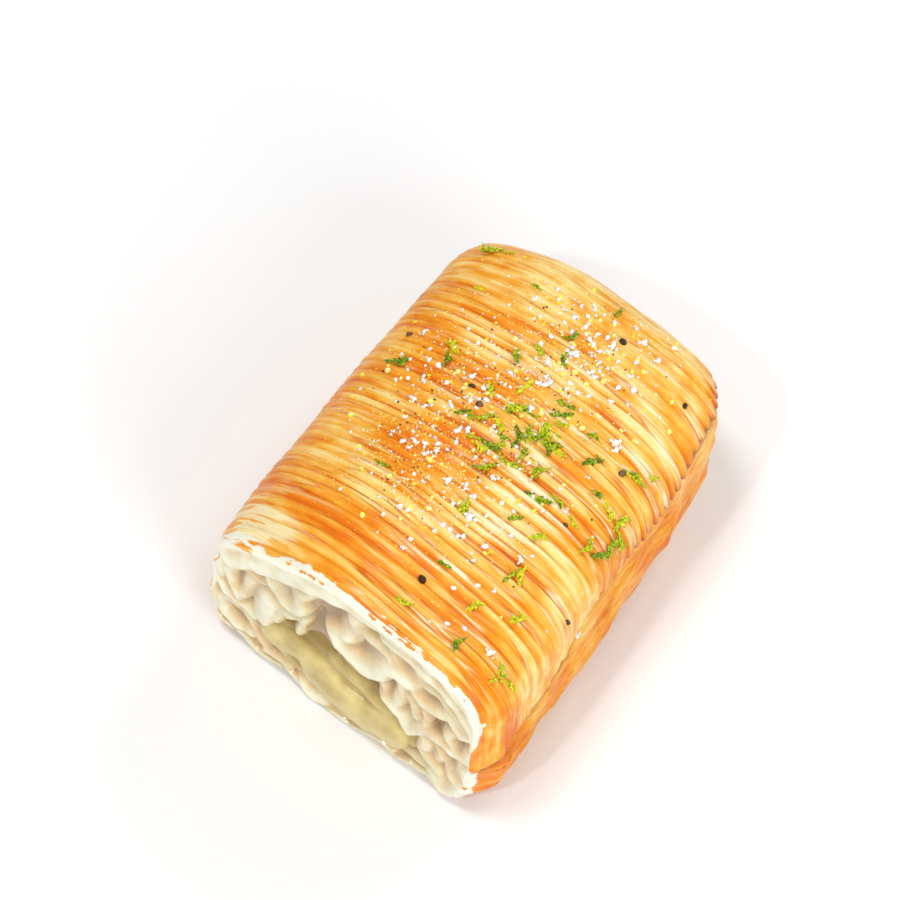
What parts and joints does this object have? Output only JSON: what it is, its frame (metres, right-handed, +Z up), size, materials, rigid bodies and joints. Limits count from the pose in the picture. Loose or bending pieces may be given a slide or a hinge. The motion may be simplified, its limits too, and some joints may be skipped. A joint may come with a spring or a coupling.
{
  "type": "scallion roll",
  "caption": "Ridged, browned laminated bread roll with a ragged cut end, a smooth lens-shaped filling and a sprinkle of green shreds, salt flakes and cracked pepper on its rounded top.",
  "frame": {"origin": "middle of the roll's flat base, below the middle of its bounding box", "axes": "+Y along the roll from the cut end to the rounded end, +X across it towards the seam of the outer wrap, +Z up"},
  "size_m": [0.0784, 0.1186, 0.0487],
  "materials": {
    "crust": "baked, egg-washed laminated crust, golden brown with pale ridges, satin sheen",
    "crumb": "moist cream-coloured dough at the cut, soft sheen",
    "filling": "smooth khaki-yellow paste, soft sheen",
    "greens": "dried green scallion shreds, matte",
    "salt": "white salt flakes, lightly translucent",
    "crumbs": "yellow seasoning crumbs, matte",
    "pepper": "cracked dark pepper, matte"
  },
  "bodies": {
    "root": {"pastry": "crust", "filling": "filling"}
  },
  "joints": []
}
